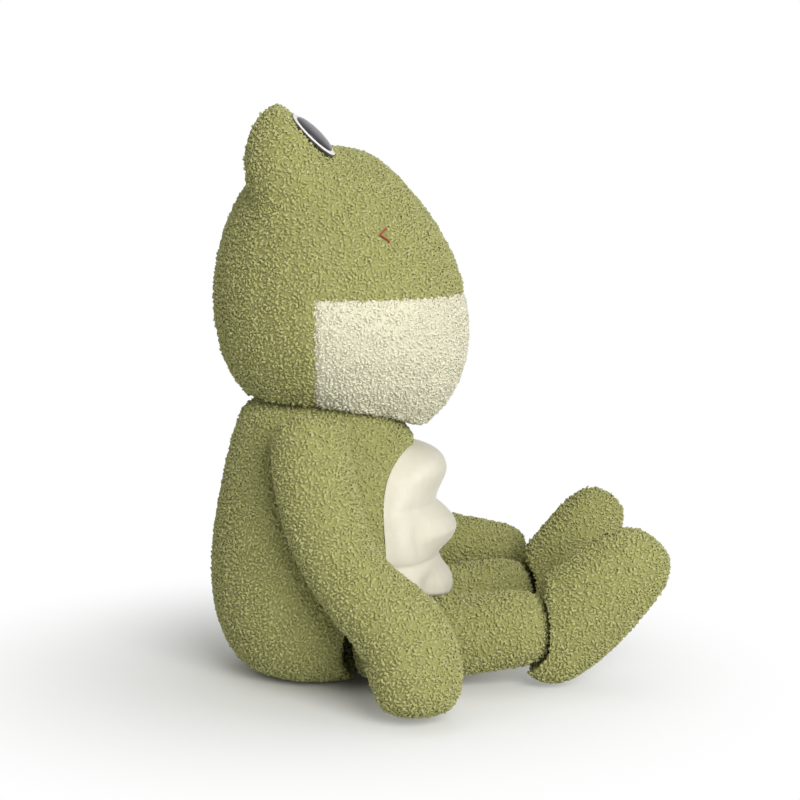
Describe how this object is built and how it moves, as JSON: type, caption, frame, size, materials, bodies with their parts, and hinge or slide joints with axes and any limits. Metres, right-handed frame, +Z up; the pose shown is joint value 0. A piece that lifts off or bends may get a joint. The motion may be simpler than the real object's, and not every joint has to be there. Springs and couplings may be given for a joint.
{
  "type": "plush frog",
  "caption": "Seated plush frog with a cream muzzle and padded belly, domed felt eyes, and head, arms, legs and feet that turn at their seams.",
  "frame": {"origin": "on the floor, on the flat seat of the torso, 12 mm ahead of the neck's axis", "axes": "+Z up, -Y the way the frog looks, +X its left side"},
  "size_m": [0.3222, 0.3182, 0.3974],
  "materials": {
    "green_pile": "curly pile",
    "cream_pile": "curly pile",
    "cream_velour": "smooth short nap",
    "white_felt": "felt",
    "dark_pupil": "satin dome",
    "red_thread": "embroidery thread",
    "fibre_filling": "loose polyester fibre",
    "pellet_cloth": "plain weave bag of pellets"
  },
  "bodies": {
    "torso": {"torso_cover": "green_pile", "torso_filling": "fibre_filling", "pellet_bag": "pellet_cloth", "belly_panel": "cream_velour"},
    "neck": {"neck_filling": "fibre_filling"},
    "head": {"head_cover": "green_pile", "muzzle_panel": "cream_pile", "head_filling": "fibre_filling", "right_eye_felt": "white_felt", "left_eye_felt": "white_felt", "right_pupil": "dark_pupil", "left_pupil": "dark_pupil", "right_nostril_stitch": "red_thread", "left_nostril_stitch": "red_thread"},
    "right_arm": {"right_arm_cover": "green_pile", "right_arm_filling": "fibre_filling"},
    "left_arm": {"left_arm_cover": "green_pile", "left_arm_filling": "fibre_filling"},
    "right_leg": {"right_leg_cover": "green_pile", "right_leg_filling": "fibre_filling"},
    "left_leg": {"left_leg_cover": "green_pile", "left_leg_filling": "fibre_filling"},
    "right_foot": {"right_foot_cover": "green_pile", "right_foot_filling": "fibre_filling"},
    "left_foot": {"left_foot_cover": "green_pile", "left_foot_filling": "fibre_filling"}
  },
  "joints": [
    {"name": "neck_turn", "type": "hinge", "parent": "torso", "child": "neck", "pos_m": [0, 0.012, 0.125], "axis": [0, 0, 1], "range_deg": [-10, 10], "stiffness_Nm_per_rad": 0.15},
    {"name": "head_nod", "type": "hinge", "parent": "neck", "child": "head", "pos_m": [0, 0.012, 0.125], "axis": [1, 0, 0], "range_deg": [-10, 4], "stiffness_Nm_per_rad": 2},
    {"name": "right_arm_swing", "type": "hinge", "parent": "torso", "child": "right_arm", "pos_m": [-0.057, 0.018, 0.168], "axis": [-0.9336, 0, 0.3584], "range_deg": [-32, 36]},
    {"name": "left_arm_swing", "type": "hinge", "parent": "torso", "child": "left_arm", "pos_m": [0.057, 0.018, 0.168], "axis": [-0.9336, 0, -0.3584], "range_deg": [-56, 10]},
    {"name": "right_leg_lift", "type": "hinge", "parent": "torso", "child": "right_leg", "pos_m": [-0.044, -0.034, 0.0287], "axis": [-1, 0, 0], "range_deg": [-35, 4]},
    {"name": "left_leg_lift", "type": "hinge", "parent": "torso", "child": "left_leg", "pos_m": [0.044, -0.034, 0.0287], "axis": [-1, 0, 0], "range_deg": [-35, 4]},
    {"name": "right_foot_flex", "type": "hinge", "parent": "right_leg", "child": "right_foot", "pos_m": [-0.053, -0.124, 0.0405], "axis": [-1, 0, 0], "range_deg": [-4, 12], "stiffness_Nm_per_rad": 0.05},
    {"name": "left_foot_flex", "type": "hinge", "parent": "left_leg", "child": "left_foot", "pos_m": [0.053, -0.124, 0.0405], "axis": [-1, 0, 0], "range_deg": [-4, 12], "stiffness_Nm_per_rad": 0.05}
  ]
}
